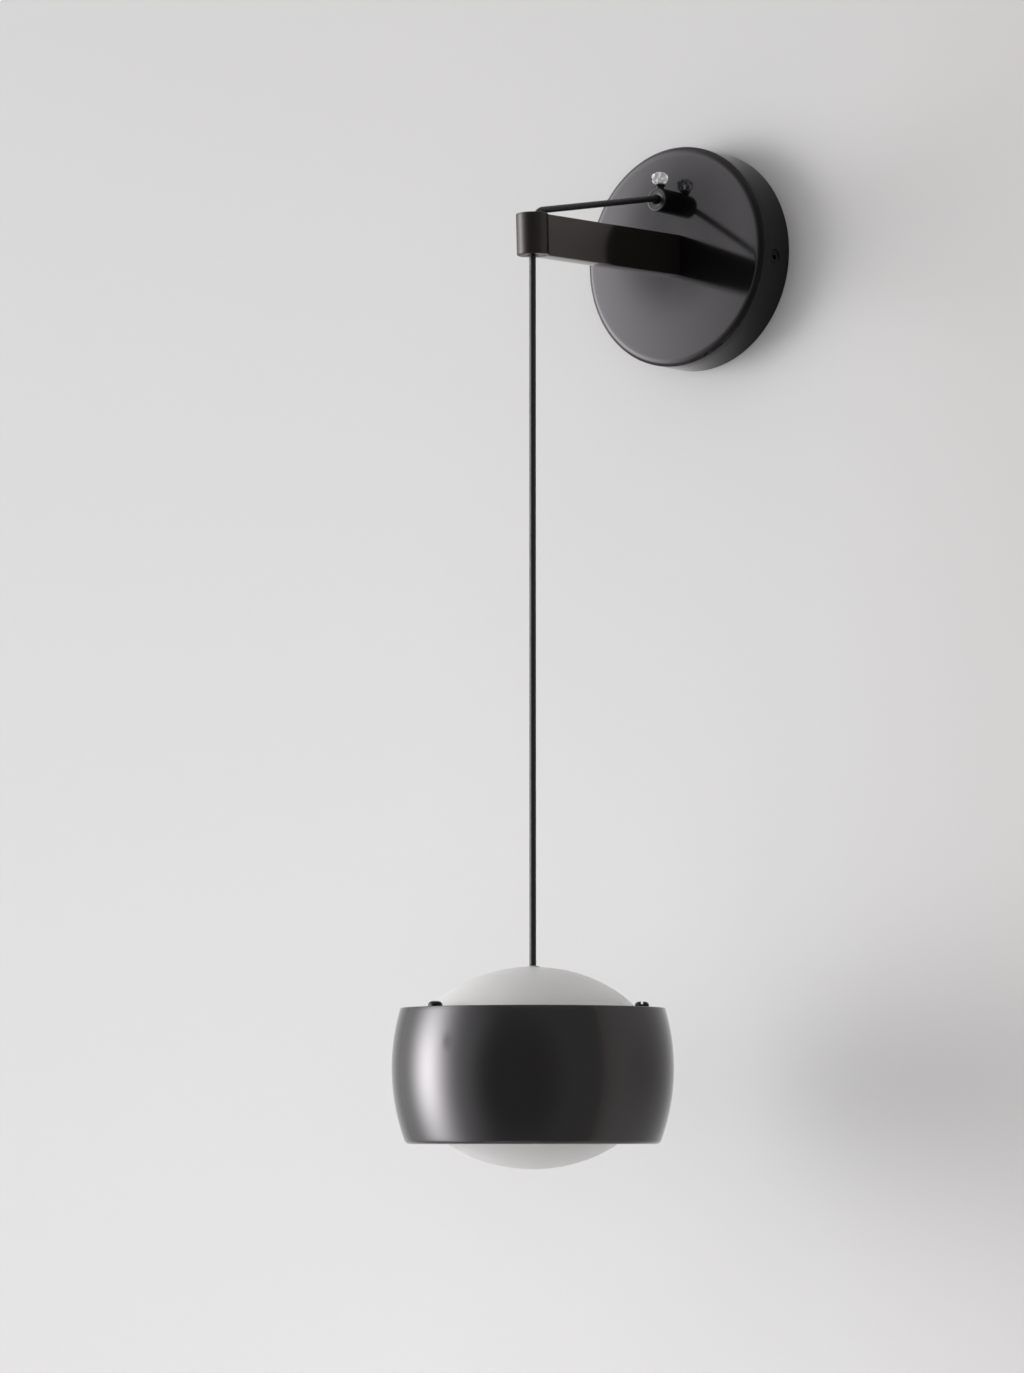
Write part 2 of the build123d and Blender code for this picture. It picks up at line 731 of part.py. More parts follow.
def dome(low, high, inner=0.0):
    """Half section of the glass wall between two heights and outside a radius."""
    with BuildSketch() as section:
        add(glass_outside)
        add(glass_inside, mode=Mode.SUBTRACT)
        with Locations((inner, low)):
            Rectangle(glass_dia, high - low, align=(Align.MIN, Align.MIN), mode=Mode.INTERSECT)
    return section.sketch


with BuildPart() as upper_glass:
    with BuildSketch(upright):
        add(dome(pendant_middle + dome_gap, pendant_middle + far, grommet_hole_r))
    revolve(axis=hang_axis)
save(upper_glass.part, "upper_glass")

with BuildPart() as lower_glass:
    with BuildSketch(upright):
        add(dome(pendant_middle - far, pendant_middle - dome_gap))
    revolve(axis=hang_axis)
save(lower_glass.part, "lower_glass")


def seat(inner, width, low, high):
    """Half section of a gasket that fills a corner between a flat and the glass."""
    with BuildSketch() as section:
        with Locations((inner, low)):
            Rectangle(width, high - low, align=(Align.MIN, Align.MIN))
        add(glass_outside, mode=Mode.SUBTRACT)
    return section.sketch


with BuildPart() as foot_gasket:
    with BuildSketch(upright):
        add(seat(foot_inner, foot_gasket_width, foot_z + band_wall, pendant_middle))
    revolve(axis=hang_axis)
save(foot_gasket.part, "foot_gasket")

with BuildPart() as ring_gasket:
    with BuildSketch(upright):
        add(seat(ring_inner, ring_gasket_width, pendant_middle, ring_bottom))
    revolve(axis=hang_axis)
save(ring_gasket.part, "ring_gasket")

with BuildPart() as glass_grommet:
    sleeve_in = cord_r + grommet_gap
    sleeve_out = sleeve_in + grommet_wall
    flange_out = sleeve_out + grommet_lip
    flange_top = glass_top + grommet_flange
    sleeve_end = glass_top - glass_wall - grommet_flange
    with BuildSketch(upright):
        with BuildLine():
            Polyline(
                (sleeve_in, flange_top),
                (flange_out, flange_top),
                (flange_out, glass_top),
                (sleeve_out, glass_top),
                (sleeve_out, sleeve_end),
                (sleeve_in, sleeve_end),
                close=True,
            )
        make_face()
    revolve(axis=hang_axis)
save(glass_grommet.part, "glass_grommet")


# ---- Pendant: carrier, lamp boards and cord gland ---------------------------------------------------

carrier_top = pendant_middle + carrier_thick / 2
carrier_bottom = pendant_middle - carrier_thick / 2

with BuildPart() as carrier_disc:
    with BuildSketch(level(carrier_bottom)):
        Circle(glass_a + carrier_lip)
        Circle(gland_thread_dia / 2, mode=Mode.SUBTRACT)
    extrude(amount=carrier_thick)
save(carrier_disc.part, "carrier_disc")

with BuildPart() as joint_gaskets:
    for z in (carrier_top, carrier_bottom - joint_gasket):
        with BuildSketch(level(z)):
            Circle(glass_a)
            Circle(glass_a - glass_wall - joint_gasket_lap, mode=Mode.SUBTRACT)
        extrude(amount=joint_gasket)
save(joint_gaskets.part, "joint_gaskets")

for name, face, side in (("top_board", carrier_top, 1), ("bottom_board", carrier_bottom, -1)):
    with BuildPart() as lamp_board:
        with BuildSketch(level(face)):
            Circle(board_dia / 2)
            Circle(board_hole_dia / 2, mode=Mode.SUBTRACT)
        extrude(amount=side * board_thick)
    save(lamp_board.part, name)
    with BuildPart() as lamp_chips:
        with BuildSketch(level(face + side * board_thick)):
            with PolarLocations(chip_pitch_dia / 2, chip_count):
                Rectangle(chip_size, chip_size)
        extrude(amount=side * chip_thick)
    save(lamp_chips.part, name.replace("board", "lamp_chips"))

with BuildPart() as cord_gland:
    with BuildSketch(level(carrier_top)):
        RegularPolygon(gland_size / 2, 6, major_radius=False)
    extrude(amount=gland_height / 2)
    with BuildSketch(level(carrier_top + gland_height / 2)):
        Circle(gland_size / 2)
    extrude(amount=gland_height / 2)
    fillet(cord_gland.faces().sort_by(Axis.Z)[-1].edges(), gland_round)
    with BuildSketch(level(carrier_top)):
        Circle(gland_thread_dia / 2)
    extrude(amount=-(carrier_thick + gland_tail))
    with BuildSketch(level(carrier_top + gland_height)):
        Circle(cord_r)
    extrude(amount=-(gland_height + carrier_thick + gland_tail), mode=Mode.SUBTRACT)
save(cord_gland.part, "cord_gland")

with BuildPart() as gland_nut:
    with BuildSketch(level(carrier_bottom)):
        RegularPolygon(gland_nut_size / 2, 6, major_radius=False)
        Circle(gland_thread_dia / 2, mode=Mode.SUBTRACT)
    extrude(amount=-gland_nut_thick)
save(gland_nut.part, "gland_nut")

with BuildPart() as pendant_lead:
    with BuildSketch(level(tail_end)):
        Circle(cord_r)
    extrude(amount=-(tail_end - carrier_bottom + gland_tail))
save(pendant_lead.part, "pendant_lead")
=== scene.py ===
from math import acos, asin, cos, degrees, pi, radians, sin, sqrt
import bmesh
import bpy
from mathutils import Matrix, Vector


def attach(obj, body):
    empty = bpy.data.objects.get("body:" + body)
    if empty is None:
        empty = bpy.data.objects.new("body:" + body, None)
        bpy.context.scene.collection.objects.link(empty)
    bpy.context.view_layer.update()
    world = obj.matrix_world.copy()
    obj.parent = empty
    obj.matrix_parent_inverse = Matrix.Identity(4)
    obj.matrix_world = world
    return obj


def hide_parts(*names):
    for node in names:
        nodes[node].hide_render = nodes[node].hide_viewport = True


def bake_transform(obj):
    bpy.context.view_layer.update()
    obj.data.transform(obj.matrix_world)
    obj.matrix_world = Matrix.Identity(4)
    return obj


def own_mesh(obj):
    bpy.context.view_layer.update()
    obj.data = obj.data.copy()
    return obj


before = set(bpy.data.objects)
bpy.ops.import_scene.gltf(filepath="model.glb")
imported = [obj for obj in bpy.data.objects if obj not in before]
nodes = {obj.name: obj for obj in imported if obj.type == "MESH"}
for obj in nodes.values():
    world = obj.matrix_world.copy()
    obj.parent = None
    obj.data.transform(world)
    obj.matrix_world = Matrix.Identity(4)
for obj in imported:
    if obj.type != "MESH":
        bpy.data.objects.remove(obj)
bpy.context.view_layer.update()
mm = 0.001
print("frame loaded:", len(nodes), "nodes")

# Places from the part: the wall is y = 0, the cord hangs at y = hangY
hangY = -0.145


def linearColour(hexCode):  # an sRGB hex code as linear red, green, blue and alpha
    parts = [int(hexCode[i:i + 2], 16) / 255 for i in (1, 3, 5)]
    return [p / 12.92 if p <= 0.04045 else ((p + 0.055) / 1.055) ** 2.4 for p in parts] + [1.0]


def addNode(tree, kind, settings={}, links={}):  # capitalised or numbered settings are sockets
    node = tree.nodes.new(kind)
    for key, value in settings.items():
        if isinstance(key, int) or key[0].isupper():
            node.inputs[key].default_value = value
        else:
            setattr(node, key, value)
    for key, socket in links.items():
        tree.links.new(socket, node.inputs[key])
    return node


def newMaterial(name, settings):  # a Principled material and its Object coordinates
    material = bpy.data.materials.new(name)
    material.use_nodes = True
    tree = material.node_tree
    shader = tree.nodes["Principled BSDF"]
    for key, value in settings.items():
        shader.inputs[key].default_value = value
    coords = addNode(tree, "ShaderNodeTexCoord").outputs["Object"]
    return material, tree, shader, coords


def polishedMetal(name, hexCode, roughness, lines, lineSize, warmth=None, metallic=1.0):
    # lines is how far the polishing lines are drawn out along x, y and z; warmth is a second
    # tone that comes and goes in soft clouds
    material, tree, shader, coords = newMaterial(name, {
        "Base Color": linearColour(hexCode), "Metallic": metallic, "Roughness": roughness})
    grain = addNode(tree, "ShaderNodeMapping",
                    {"Scale": [1 / (lineSize * mm * part) for part in lines]}, {"Vector": coords})
    scratch = addNode(tree, "ShaderNodeTexNoise", {"Scale": 1.0, "Detail": 3.0, "Roughness": 0.6},
                      {"Vector": grain.outputs[0]})
    cloudSize, lineHeight = 22 * mm, 0.004 * mm
    cloud = addNode(tree, "ShaderNodeTexNoise", {"Scale": 1 / cloudSize, "Detail": 2.0},
                    {"Vector": coords})
    both = addNode(tree, "ShaderNodeMath", {"operation": "MULTIPLY"},
                   {0: scratch.outputs[0], 1: cloud.outputs[0]})
    spread = addNode(tree, "ShaderNodeMapRange",
                     {"From Min": 0.12, "From Max": 0.42, "To Min": roughness * 0.85,
                      "To Max": roughness * 1.2}, {"Value": both.outputs[0]})
    tree.links.new(spread.outputs[0], shader.inputs["Roughness"])
    tone = addNode(tree, "ShaderNodeMix",
                   {"data_type": "RGBA", 6: linearColour(hexCode),
                    7: linearColour(warmth or hexCode)}, {0: cloud.outputs[0]})
    tree.links.new(tone.outputs[2], shader.inputs["Base Color"])
    bump = addNode(tree, "ShaderNodeBump", {"Strength": 0.25, "Distance": lineHeight},
                   {"Height": scratch.outputs[0]})
    tree.links.new(bump.outputs[0], shader.inputs["Normal"])
    return material


def mouldedPlastic(name, hexCode, roughness, grainSize, depth, extra={}):
    # grainSize and depth are the grain's size and height in mm
    material, tree, shader, coords = newMaterial(name, {
        "Base Color": linearColour(hexCode), "Roughness": roughness, **extra})
    grain = addNode(tree, "ShaderNodeTexNoise", {"Scale": 1 / (grainSize * mm), "Detail": 2.0},
                    {"Vector": coords})
    shine = addNode(tree, "ShaderNodeMapRange",
                    {"From Min": 0.3, "From Max": 0.7, "To Min": roughness * 0.8,
                     "To Max": roughness * 1.2}, {"Value": grain.outputs[0]})
    tree.links.new(shine.outputs[0], shader.inputs["Roughness"])
    bump = addNode(tree, "ShaderNodeBump", {"Strength": 0.4, "Distance": depth * mm},
                   {"Height": grain.outputs[0]})
    tree.links.new(bump.outputs[0], shader.inputs["Normal"])
    return material


# Spun steel plated with black nickel over a satin brush: dark grey, mirrors what is near it; its
# base is made darker than the arm's copy of the same plate, painted shade that dims what the face
# mirrors
canopyNickel = polishedMetal("blackNickelSatin", "#282729", 0.1, (14, 1, 1), 0.35, "#2a2829",
                             0.8)
# The same plate on the arm, polished finer along its length: warmer, and made lighter than the
# canopy's copy, painted light that brightens what the bar mirrors
armNickel = polishedMetal("blackNickelArm", "#47423f", 0.09, (1, 14, 1), 0.35, "#423f3d",
                          0.8)
# The arm's nose is turned, so its shine is softer; its base is made darker than the arm's, painted
# shade that dims its highlight
noseNickel = polishedMetal("blackNickelTurned", "#383534", 0.36, (14, 14, 1), 0.12, "#363332",
                           0.8)
# Spun brass under black nickel: the lathe's lines run round the band
bandNickel = polishedMetal("blackNickelSpun", "#474648", 0.15, (16, 16, 1), 0.4, "#494748",
                           0.85)
# Zinc plated steel, as pressed: light blue-grey, cloudy
zincSteel = polishedMetal("zincPlatedSteel", "#b9bcc0", 0.35, (1, 1, 1), 1.5, "#c4c3b6")
# Steel screws in black oxide: near black with a satin shine
blackOxide = polishedMetal("blackOxideSteel", "#2a2a2c", 0.3, (1, 1, 1), 0.5)
# Turned brass of the earth screw: yellow, with fine rings
turnedBrass = polishedMetal("turnedBrass", "#c9a45a", 0.25, (6, 1, 6), 0.3)
# Turned aluminium, natural: pale, with fine rings
turnedAluminium = polishedMetal("turnedAluminium", "#cfd1d3", 0.32, (12, 12, 1), 0.4)
# Moulded black nylon with a fine spark-eroded grain
blackNylon = mouldedPlastic("blackNylon", "#0d0d0e", 0.3, 0.35, 0.01,
                            {"Specular IOR Level": 0.22})
# Clear acrylic of the clamp screw's head, cut and polished: sparkles at its facets
clearAcrylic = mouldedPlastic("clearAcrylic", "#f8fafa", 0.05, 1.2, 0.01,
                              {"Transmission Weight": 0.6, "IOR": 1.49})
# Moulded white nylon of the terminal block: milky, dull
whiteNylon = mouldedPlastic("whiteNylon", "#dcdbd4", 0.42, 0.5, 0.012)
# Moulded polycarbonate of the driver's case: off-white, lightly grained
driverCase = mouldedPlastic("driverCase", "#d3d2cd", 0.45, 0.6, 0.02)
# PVC sheath of the cord: black, smooth, faintly waxy
cordSheath = mouldedPlastic("cordSheath", "#101012", 0.5, 0.8, 0.002)
# PVC of the supply wires: brown, a little shinier
wireSheath = mouldedPlastic("wireSheath", "#6a4a34", 0.4, 0.6, 0.008)
# Moulded silicone rubber: dull grey-white
siliconeRubber = mouldedPlastic("siliconeRubber", "#c6c6c0", 0.5, 0.5, 0.01)
# White solder mask of the lamp boards
lampBoard = mouldedPlastic("solderMask", "#e6e6df", 0.35, 1.0, 0.004)
# Silicone with yellow phosphor over the lamp chips
phosphor = mouldedPlastic("phosphorSilicone", "#e3cf5a", 0.3, 0.3, 0.004)
# Blown opal glass, etched satin on the outside: soft grey-white, no sharp highlight
opalGlass = mouldedPlastic("opalGlassSatin", "#e6e5e4", 0.45, 0.25, 0.003,
                           {"IOR": 1.5, "Subsurface Weight": 0.6,
                            "Subsurface Radius": (0.014, 0.014, 0.014), "Subsurface Scale": 1.0})
print("materials made")

finishes = {
    "wall_bracket": zincSteel, "bracket_tabs": zincSteel, "side_screws": blackOxide,
    "canopy_cover": canopyNickel, "arm_bar": armNickel, "arm_nose": armNickel,
    "arm_plate": zincSteel, "arm_screws": zincSteel, "grip_body": blackNylon,
    "grip_nut": blackNylon, "grip_clamp_screw": clearAcrylic, "terminal_block": whiteNylon,
    "block_screw": zincSteel, "led_driver": driverCase, "driver_screws": zincSteel,
    "earth_terminal": turnedBrass, "cord_upper": cordSheath, "cord_inner": cordSheath,
    "supply_wires": wireSheath, "cord_neck": cordSheath, "cord_drop": cordSheath,
    "cord_tail": cordSheath, "shade_band": bandNickel, "rim_lugs": zincSteel,
    "top_ring": bandNickel, "rim_screws": blackOxide, "upper_glass": opalGlass,
    "lower_glass": opalGlass, "foot_gasket": siliconeRubber, "ring_gasket": siliconeRubber,
    "joint_gaskets": siliconeRubber, "glass_grommet": siliconeRubber,
    "carrier_disc": turnedAluminium, "top_board": lampBoard, "bottom_board": lampBoard,
    "top_lamp_chips": phosphor, "bottom_lamp_chips": phosphor, "cord_gland": blackNylon,
    "gland_nut": blackNylon, "pendant_lead": cordSheath,
}
for name, material in finishes.items():
    nodes[name].data.materials.clear()
    nodes[name].data.materials.append(material)


# Shaping tools: rings and edges are picked in code, then shaped as by hand
near = 0.01  # mm: a point this close to a place counts as on it
weld = 0.0005  # mm: points this close become one


def only(piece):  # nothing but this piece is selected
    bpy.ops.object.select_all(action="DESELECT")
    piece.select_set(True)
    bpy.context.view_layer.objects.active = piece


def pick(piece, test, kind="EDGE"):  # in edit mode: the edges or faces whose points all pass
    bpy.ops.mesh.select_mode(type=kind)
    bpy.ops.mesh.select_all(action="DESELECT")
    mesh = bmesh.from_edit_mesh(piece.data)
    for part in mesh.edges if kind == "EDGE" else mesh.faces:
        part.select_set(all(test(v.co / mm) for v in part.verts))
    bmesh.update_edit_mesh(piece.data)


def bevelEdges(piece, width, segments, test):
    only(piece)
    bpy.ops.object.mode_set(mode="EDIT")
    pick(piece, test)
    bpy.ops.mesh.bevel(offset=width * mm, segments=segments, profile=0.5, affect="EDGES")
    bpy.ops.object.mode_set(mode="OBJECT")


def applyModifier(piece, name, kind, **settings):
    only(piece)
    modifier = piece.modifiers.new(name, kind)
    for key, value in settings.items():
        setattr(modifier, key, value)
    bpy.ops.object.modifier_apply(modifier=name)


def cut(piece, *cutters):
    for cutter in cutters:
        applyModifier(piece, "cut", "BOOLEAN", operation="DIFFERENCE", solver="EXACT",
                      object=cutter)
        bpy.data.objects.remove(cutter)


def arc(middle, radius, start, end, count):  # points of an arc in a half section, in degrees
    turns = [radians(start + (end - start) * i / count) for i in range(count + 1)]
    return [(middle[0] + radius * cos(t), middle[1] + radius * sin(t)) for t in turns]


def turned(name, outline, steps, place=Matrix()):
    # A circle drawn out ring by ring through (radius, height) pairs in mm, about local Z. An
    # outline that ends where it starts is a closed ring; any other open end is capped.
    bpy.ops.object.select_all(action="DESELECT")
    radius, height = outline[0]
    bpy.ops.mesh.primitive_circle_add(vertices=steps, radius=radius * mm,
                                      location=(0, 0, height * mm))
    piece = bpy.context.object
    piece.name = name
    bpy.ops.object.mode_set(mode="EDIT")
    bpy.ops.mesh.select_mode(type="VERT")
    bpy.ops.mesh.select_all(action="SELECT")
    for nextRadius, nextHeight in outline[1:]:
        bpy.ops.mesh.extrude_region_move(
            TRANSFORM_OT_translate={"value": (0, 0, (nextHeight - height) * mm)})
        share = nextRadius / radius
        bpy.ops.transform.resize(value=(share, share, 1),
                                 center_override=(0, 0, nextHeight * mm))
        radius, height = nextRadius, nextHeight
        if radius == 0:
            break
    bpy.ops.mesh.select_all(action="SELECT")
    bpy.ops.mesh.remove_doubles(threshold=weld * mm)
    bpy.ops.mesh.select_mode(type="EDGE")
    bpy.ops.mesh.select_all(action="DESELECT")
    bpy.ops.mesh.select_non_manifold()
    if any(v.select for v in bmesh.from_edit_mesh(piece.data).verts):
        bpy.ops.mesh.fill_holes(sides=0)
    bpy.ops.mesh.select_all(action="SELECT")
    bpy.ops.mesh.normals_make_consistent(inside=False)
    bpy.ops.object.mode_set(mode="OBJECT")
    piece.matrix_world = place @ piece.matrix_world
    only(piece)
    bpy.ops.object.transform_apply(location=True, rotation=True, scale=True)
    return piece


def block(name, size, middle, place=Matrix()):  # a box of that size in mm, about its middle
    bpy.ops.object.select_all(action="DESELECT")
    bpy.ops.mesh.primitive_cube_add(size=mm, location=[c * mm for c in middle], scale=size)
    piece = bpy.context.object
    piece.name = name
    piece.matrix_world = place @ piece.matrix_world
    bpy.ops.object.transform_apply(location=True, rotation=True, scale=True)
    return piece


def openTop(piece, test):  # the cap whose points pass is taken off, which leaves a bowl
    only(piece)
    bpy.ops.object.mode_set(mode="EDIT")
    pick(piece, test, "FACE")
    bpy.ops.mesh.delete(type="FACE")
    bpy.ops.object.mode_set(mode="OBJECT")


def finishPiece(piece, material, body, slotName, *nodeNames, smooth=35):
    only(piece)
    if smooth:
        bpy.ops.object.shade_smooth_by_angle(angle=radians(smooth))
    piece.data.materials.clear()
    piece.data.materials.append(material)
    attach(piece, body)
    if nodeNames:
        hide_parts(*nodeNames)
    return piece


def standing(x, y, z):  # local Z stays upright, at a place in mm
    return Matrix.Translation((x * mm, y * mm, z * mm))


fromWall = Matrix.Rotation(pi / 2, 4, "X")  # local Z points out of the wall
hangPlace = standing(0, hangY / mm, 0)


# Canopy: a spun cup with a slightly domed face, a rounded shoulder and a bevelled edge
canopyPlan = {"radius": 60.0, "depth": 25.0, "wall": 1.5, "flat": 14.0, "fallWidth": 42.0,
              "fallTurn": 2.8, "shoulderWidth": 2.6, "shoulderTurn": 30.0, "steps": 240,
              "fallRows": 28, "shoulderRows": 8, "edgeRound": 0.3, "screwOut": 12.5,
              "screwDown": 5.5, "screwSet": 59.4, "sinkMouth": 4.2, "sinkHole": 2.2,
              "sinkDeep": 57.4, "sinkFrom": 63.0, "sinkTo": 55.0}
fallTurn, shoulderTurn = canopyPlan["fallTurn"], canopyPlan["shoulderTurn"]
fallCurve = canopyPlan["fallWidth"] / sin(radians(fallTurn))
fallMiddle = (canopyPlan["flat"], canopyPlan["depth"] - fallCurve)
shoulderCurve = canopyPlan["shoulderWidth"] / (sin(radians(shoulderTurn)) - sin(radians(fallTurn)))
shoulderMiddle = (fallMiddle[0] + (fallCurve - shoulderCurve) * sin(radians(fallTurn)),
                  fallMiddle[1] + (fallCurve - shoulderCurve) * cos(radians(fallTurn)))
shoulder = arc(shoulderMiddle, shoulderCurve, 90 - shoulderTurn, 90 - fallTurn,
               canopyPlan["shoulderRows"])
bevelStart = shoulder[0][1] - (canopyPlan["radius"] - shoulder[0][0])
canopyOutline = [(canopyPlan["radius"], bevelStart * share) for share in (0, 0.25, 0.5, 0.75, 1)]
canopyOutline += shoulder
canopyOutline += arc(fallMiddle, fallCurve, 90 - fallTurn, 90, canopyPlan["fallRows"])[1:]
canopyOutline += [(share * canopyPlan["flat"], canopyPlan["depth"]) for share in (0.5, 0)]
canopy = turned("canopy", canopyOutline, canopyPlan["steps"], fromWall)
openTop(canopy, lambda p: abs(p.y) < near)
applyModifier(canopy, "wall", "SOLIDIFY", thickness=canopyPlan["wall"] * mm, offset=-1,
              use_even_offset=True)


def onRing(radius, depth):  # a test for the canopy's ring of that radius and depth
    return lambda p: (abs(-p.y - depth) < 2 * near
                      and abs(sqrt(p.x ** 2 + p.z ** 2) - radius) < 2 * near)


bevelEdges(canopy, canopyPlan["edgeRound"], 3, onRing(canopyPlan["radius"], bevelStart))
bevelEdges(canopy, canopyPlan["edgeRound"], 2, onRing(*shoulder[0]))
sinkOutline = [(canopyPlan["sinkMouth"], canopyPlan["sinkFrom"]),
               (canopyPlan["sinkMouth"], canopyPlan["screwSet"]),
               (canopyPlan["sinkHole"], canopyPlan["sinkDeep"]),
               (canopyPlan["sinkHole"], canopyPlan["sinkTo"])]
screwSteps = 48  # points round each small turned piece
sidePlaces = [standing(0, -canopyPlan["screwOut"], -canopyPlan["screwDown"])
              @ Matrix.Rotation(turn * pi / 2, 4, "Y") for turn in (1, -1)]
for place in sidePlaces:
    cut(canopy, turned("sink", sinkOutline, screwSteps, place))
finishPiece(canopy, canopyNickel, "wall_part", "canopy_nickel", "canopy_cover")

# Side screws: countersunk, with a hexagon socket, a little below the canopy's side
sideScrewPlan = {"head": 4.0, "shank": 2.0, "top": 59.4, "tip": 53.52, "round": 0.25,
                 "roundRows": 3, "socket": 2.5, "socketDeep": 1.9, "socketSides": 6}
headLow = sideScrewPlan["top"] - sideScrewPlan["head"] + sideScrewPlan["shank"]
for place, name in zip(sidePlaces, ("sideScrewRight", "sideScrewLeft")):
    edge = sideScrewPlan["round"]
    screwOutline = [(sideScrewPlan["shank"], sideScrewPlan["tip"]),
                    (sideScrewPlan["shank"], headLow),
                    (sideScrewPlan["head"], sideScrewPlan["top"] - edge)]
    screwOutline += arc((sideScrewPlan["head"] - edge, sideScrewPlan["top"] - edge), edge,
                        0, 90, sideScrewPlan["roundRows"])
    screw = turned(name, screwOutline, screwSteps, place)
    socketCorner = sideScrewPlan["socket"] / sqrt(3)  # a hexagon's corners, from its flats
    socketTop = sideScrewPlan["top"] + 1
    socketFoot = sideScrewPlan["top"] - sideScrewPlan["socketDeep"]
    socket = turned("socket", [(socketCorner, socketTop), (socketCorner, socketFoot)],
                    sideScrewPlan["socketSides"], place)
    cut(screw, socket)
    finishPiece(screw, blackOxide, "wall_part", "black_screw", "side_screws")
print("canopy made")

# Arm: a flat bar on edge, let into a round nose with a bore for the cord
armPlan = {"sag": 2.3, "reach": 120.0, "height": 22.0, "thick": 10.0, "barEdge": 0.6,
           "nose": 8.5, "noseEdge": 0.6, "bore": 2.5, "upperFlare": 4.0, "lowerFlare": 1.2,
           "rootInside": 0.9, "barInNose": 4.5, "longEdge": 50.0, "edgeRows": 4,
           "lowerRows": 5, "upperRows": 8, "noseSteps": 128}
armLength = armPlan["reach"] / cos(radians(armPlan["sag"]))
armPlace = standing(0, -canopyPlan["depth"], 0) @ Matrix.Rotation(radians(armPlan["sag"]), 4, "X")
barFrom, barTo = armPlan["rootInside"], -(armLength - armPlan["barInNose"])
bar = block("armBar", (armPlan["thick"], barFrom - barTo, armPlan["height"]),
            (0, (barFrom + barTo) / 2, 0), armPlace)
only(bar)
bpy.ops.object.mode_set(mode="EDIT")
bpy.ops.mesh.select_mode(type="EDGE")
bpy.ops.mesh.select_all(action="DESELECT")
barMesh = bmesh.from_edit_mesh(bar.data)
for edge in barMesh.edges:  # the four long edges
    edge.select_set(edge.calc_length() > armPlan["longEdge"] * mm)
bmesh.update_edit_mesh(bar.data)
bpy.ops.mesh.bevel(offset=armPlan["barEdge"] * mm, segments=armPlan["edgeRows"], profile=0.5,
                   affect="EDGES")
bpy.ops.object.mode_set(mode="OBJECT")
finishPiece(bar, armNickel, "wall_part", "arm_nickel", "arm_bar")

noseTop, noseFoot = armPlan["height"] / 2, -armPlan["height"] / 2
noseRound = armPlan["noseEdge"]
noseOutline = arc((armPlan["nose"] - noseRound, noseTop - noseRound), noseRound, 90, 0,
                  armPlan["edgeRows"])
noseOutline += [(armPlan["nose"], noseTop * share) for share in (0.5, 0, -0.5)]
noseOutline += arc((armPlan["nose"] - noseRound, noseFoot + noseRound), noseRound, 0, -90,
                   armPlan["edgeRows"])
noseOutline += arc((armPlan["bore"] + armPlan["lowerFlare"], noseFoot + armPlan["lowerFlare"]),
                   armPlan["lowerFlare"], 270, 180, armPlan["lowerRows"])
noseOutline += arc((armPlan["bore"] + armPlan["upperFlare"], noseTop - armPlan["upperFlare"]),
                   armPlan["upperFlare"], 180, 90, armPlan["upperRows"])
nose = turned("armNose", noseOutline + noseOutline[:1], armPlan["noseSteps"],
              armPlace @ standing(0, -armLength, 0))
finishPiece(nose, noseNickel, "wall_part", "arm_nickel", "arm_nose")
print("arm made")

# Cord grip: a black nylon barrel with a grooved front and a flared mouth
gripPlan = {"height": 29.0, "radius": 6.5, "length": 14.1, "edge": 0.6, "bore": 2.05,
            "flare": 1.1, "groove": 4.9, "grooveWidth": 0.5, "grooveDeep": 0.25, "thread": 5.0,
            "seat": 0.35, "step": 0.2, "inside": 5.5, "edgeRows": 4, "flareRows": 5, "steps": 96}
front, edge = gripPlan["length"], gripPlan["edge"]
gripOutline = [(gripPlan["radius"], -gripPlan["seat"]), (gripPlan["radius"], front * 0.5)]
gripOutline += arc((gripPlan["radius"] - edge, front - edge), edge, 0, 90, gripPlan["edgeRows"])
# the groove's two sloping sides, as shares of its width and depth
for out, deep in ((0.5, 0), (0.3, 1), (-0.3, 1), (-0.5, 0)):
    gripOutline.append((gripPlan["groove"] + out * gripPlan["grooveWidth"],
                        front - deep * gripPlan["grooveDeep"]))
gripOutline += arc((gripPlan["bore"] + gripPlan["flare"], front - gripPlan["flare"]),
                   gripPlan["flare"], 90, 180, gripPlan["flareRows"])
gripOutline += [(gripPlan["bore"], -gripPlan["inside"]), (gripPlan["thread"], -gripPlan["inside"]),
                (gripPlan["thread"], -gripPlan["seat"] - gripPlan["step"]),
                (gripPlan["radius"], -gripPlan["seat"])]
grip = turned("cordGrip", gripOutline, gripPlan["steps"],
              standing(0, -canopyPlan["depth"], gripPlan["height"]) @ fromWall)
finishPiece(grip, blackNylon, "wall_part", "black_nylon", "grip_body")

# Clamp screw: a clear knob cut in facets on a black stem
clampPlan = {"out": 35.9, "tip": 31.05, "stem": 2.2, "collarLow": 36.4, "collar": 3.0,
             "collarHigh": 37.8, "collarEdge": 0.3, "neck": 2.3, "facets": 8, "valley": 0.78,
             "rings": [(2.3, 37.8), (3.7, 38.5), (4.55, 39.9), (4.6, 41.6), (4.0, 43.2),
                       (2.4, 44.15), (1.0, 44.15)]}
stemOutline = [(clampPlan["stem"], clampPlan["tip"]), (clampPlan["stem"], clampPlan["collarLow"]),
               (clampPlan["collar"], clampPlan["collarLow"] + clampPlan["collarEdge"]),
               (clampPlan["collar"], clampPlan["collarHigh"] - clampPlan["collarEdge"]),
               (clampPlan["neck"], clampPlan["collarHigh"])]
stem = turned("clampStem", stemOutline, screwSteps, standing(0, -clampPlan["out"], 0))
finishPiece(stem, blackNylon, "clamp_screw", "black_nylon", "grip_clamp_screw")
knob = turned("clampKnob", clampPlan["rings"], 2 * clampPlan["facets"],
              standing(0, -clampPlan["out"], 0))
only(knob)
bpy.ops.object.mode_set(mode="EDIT")
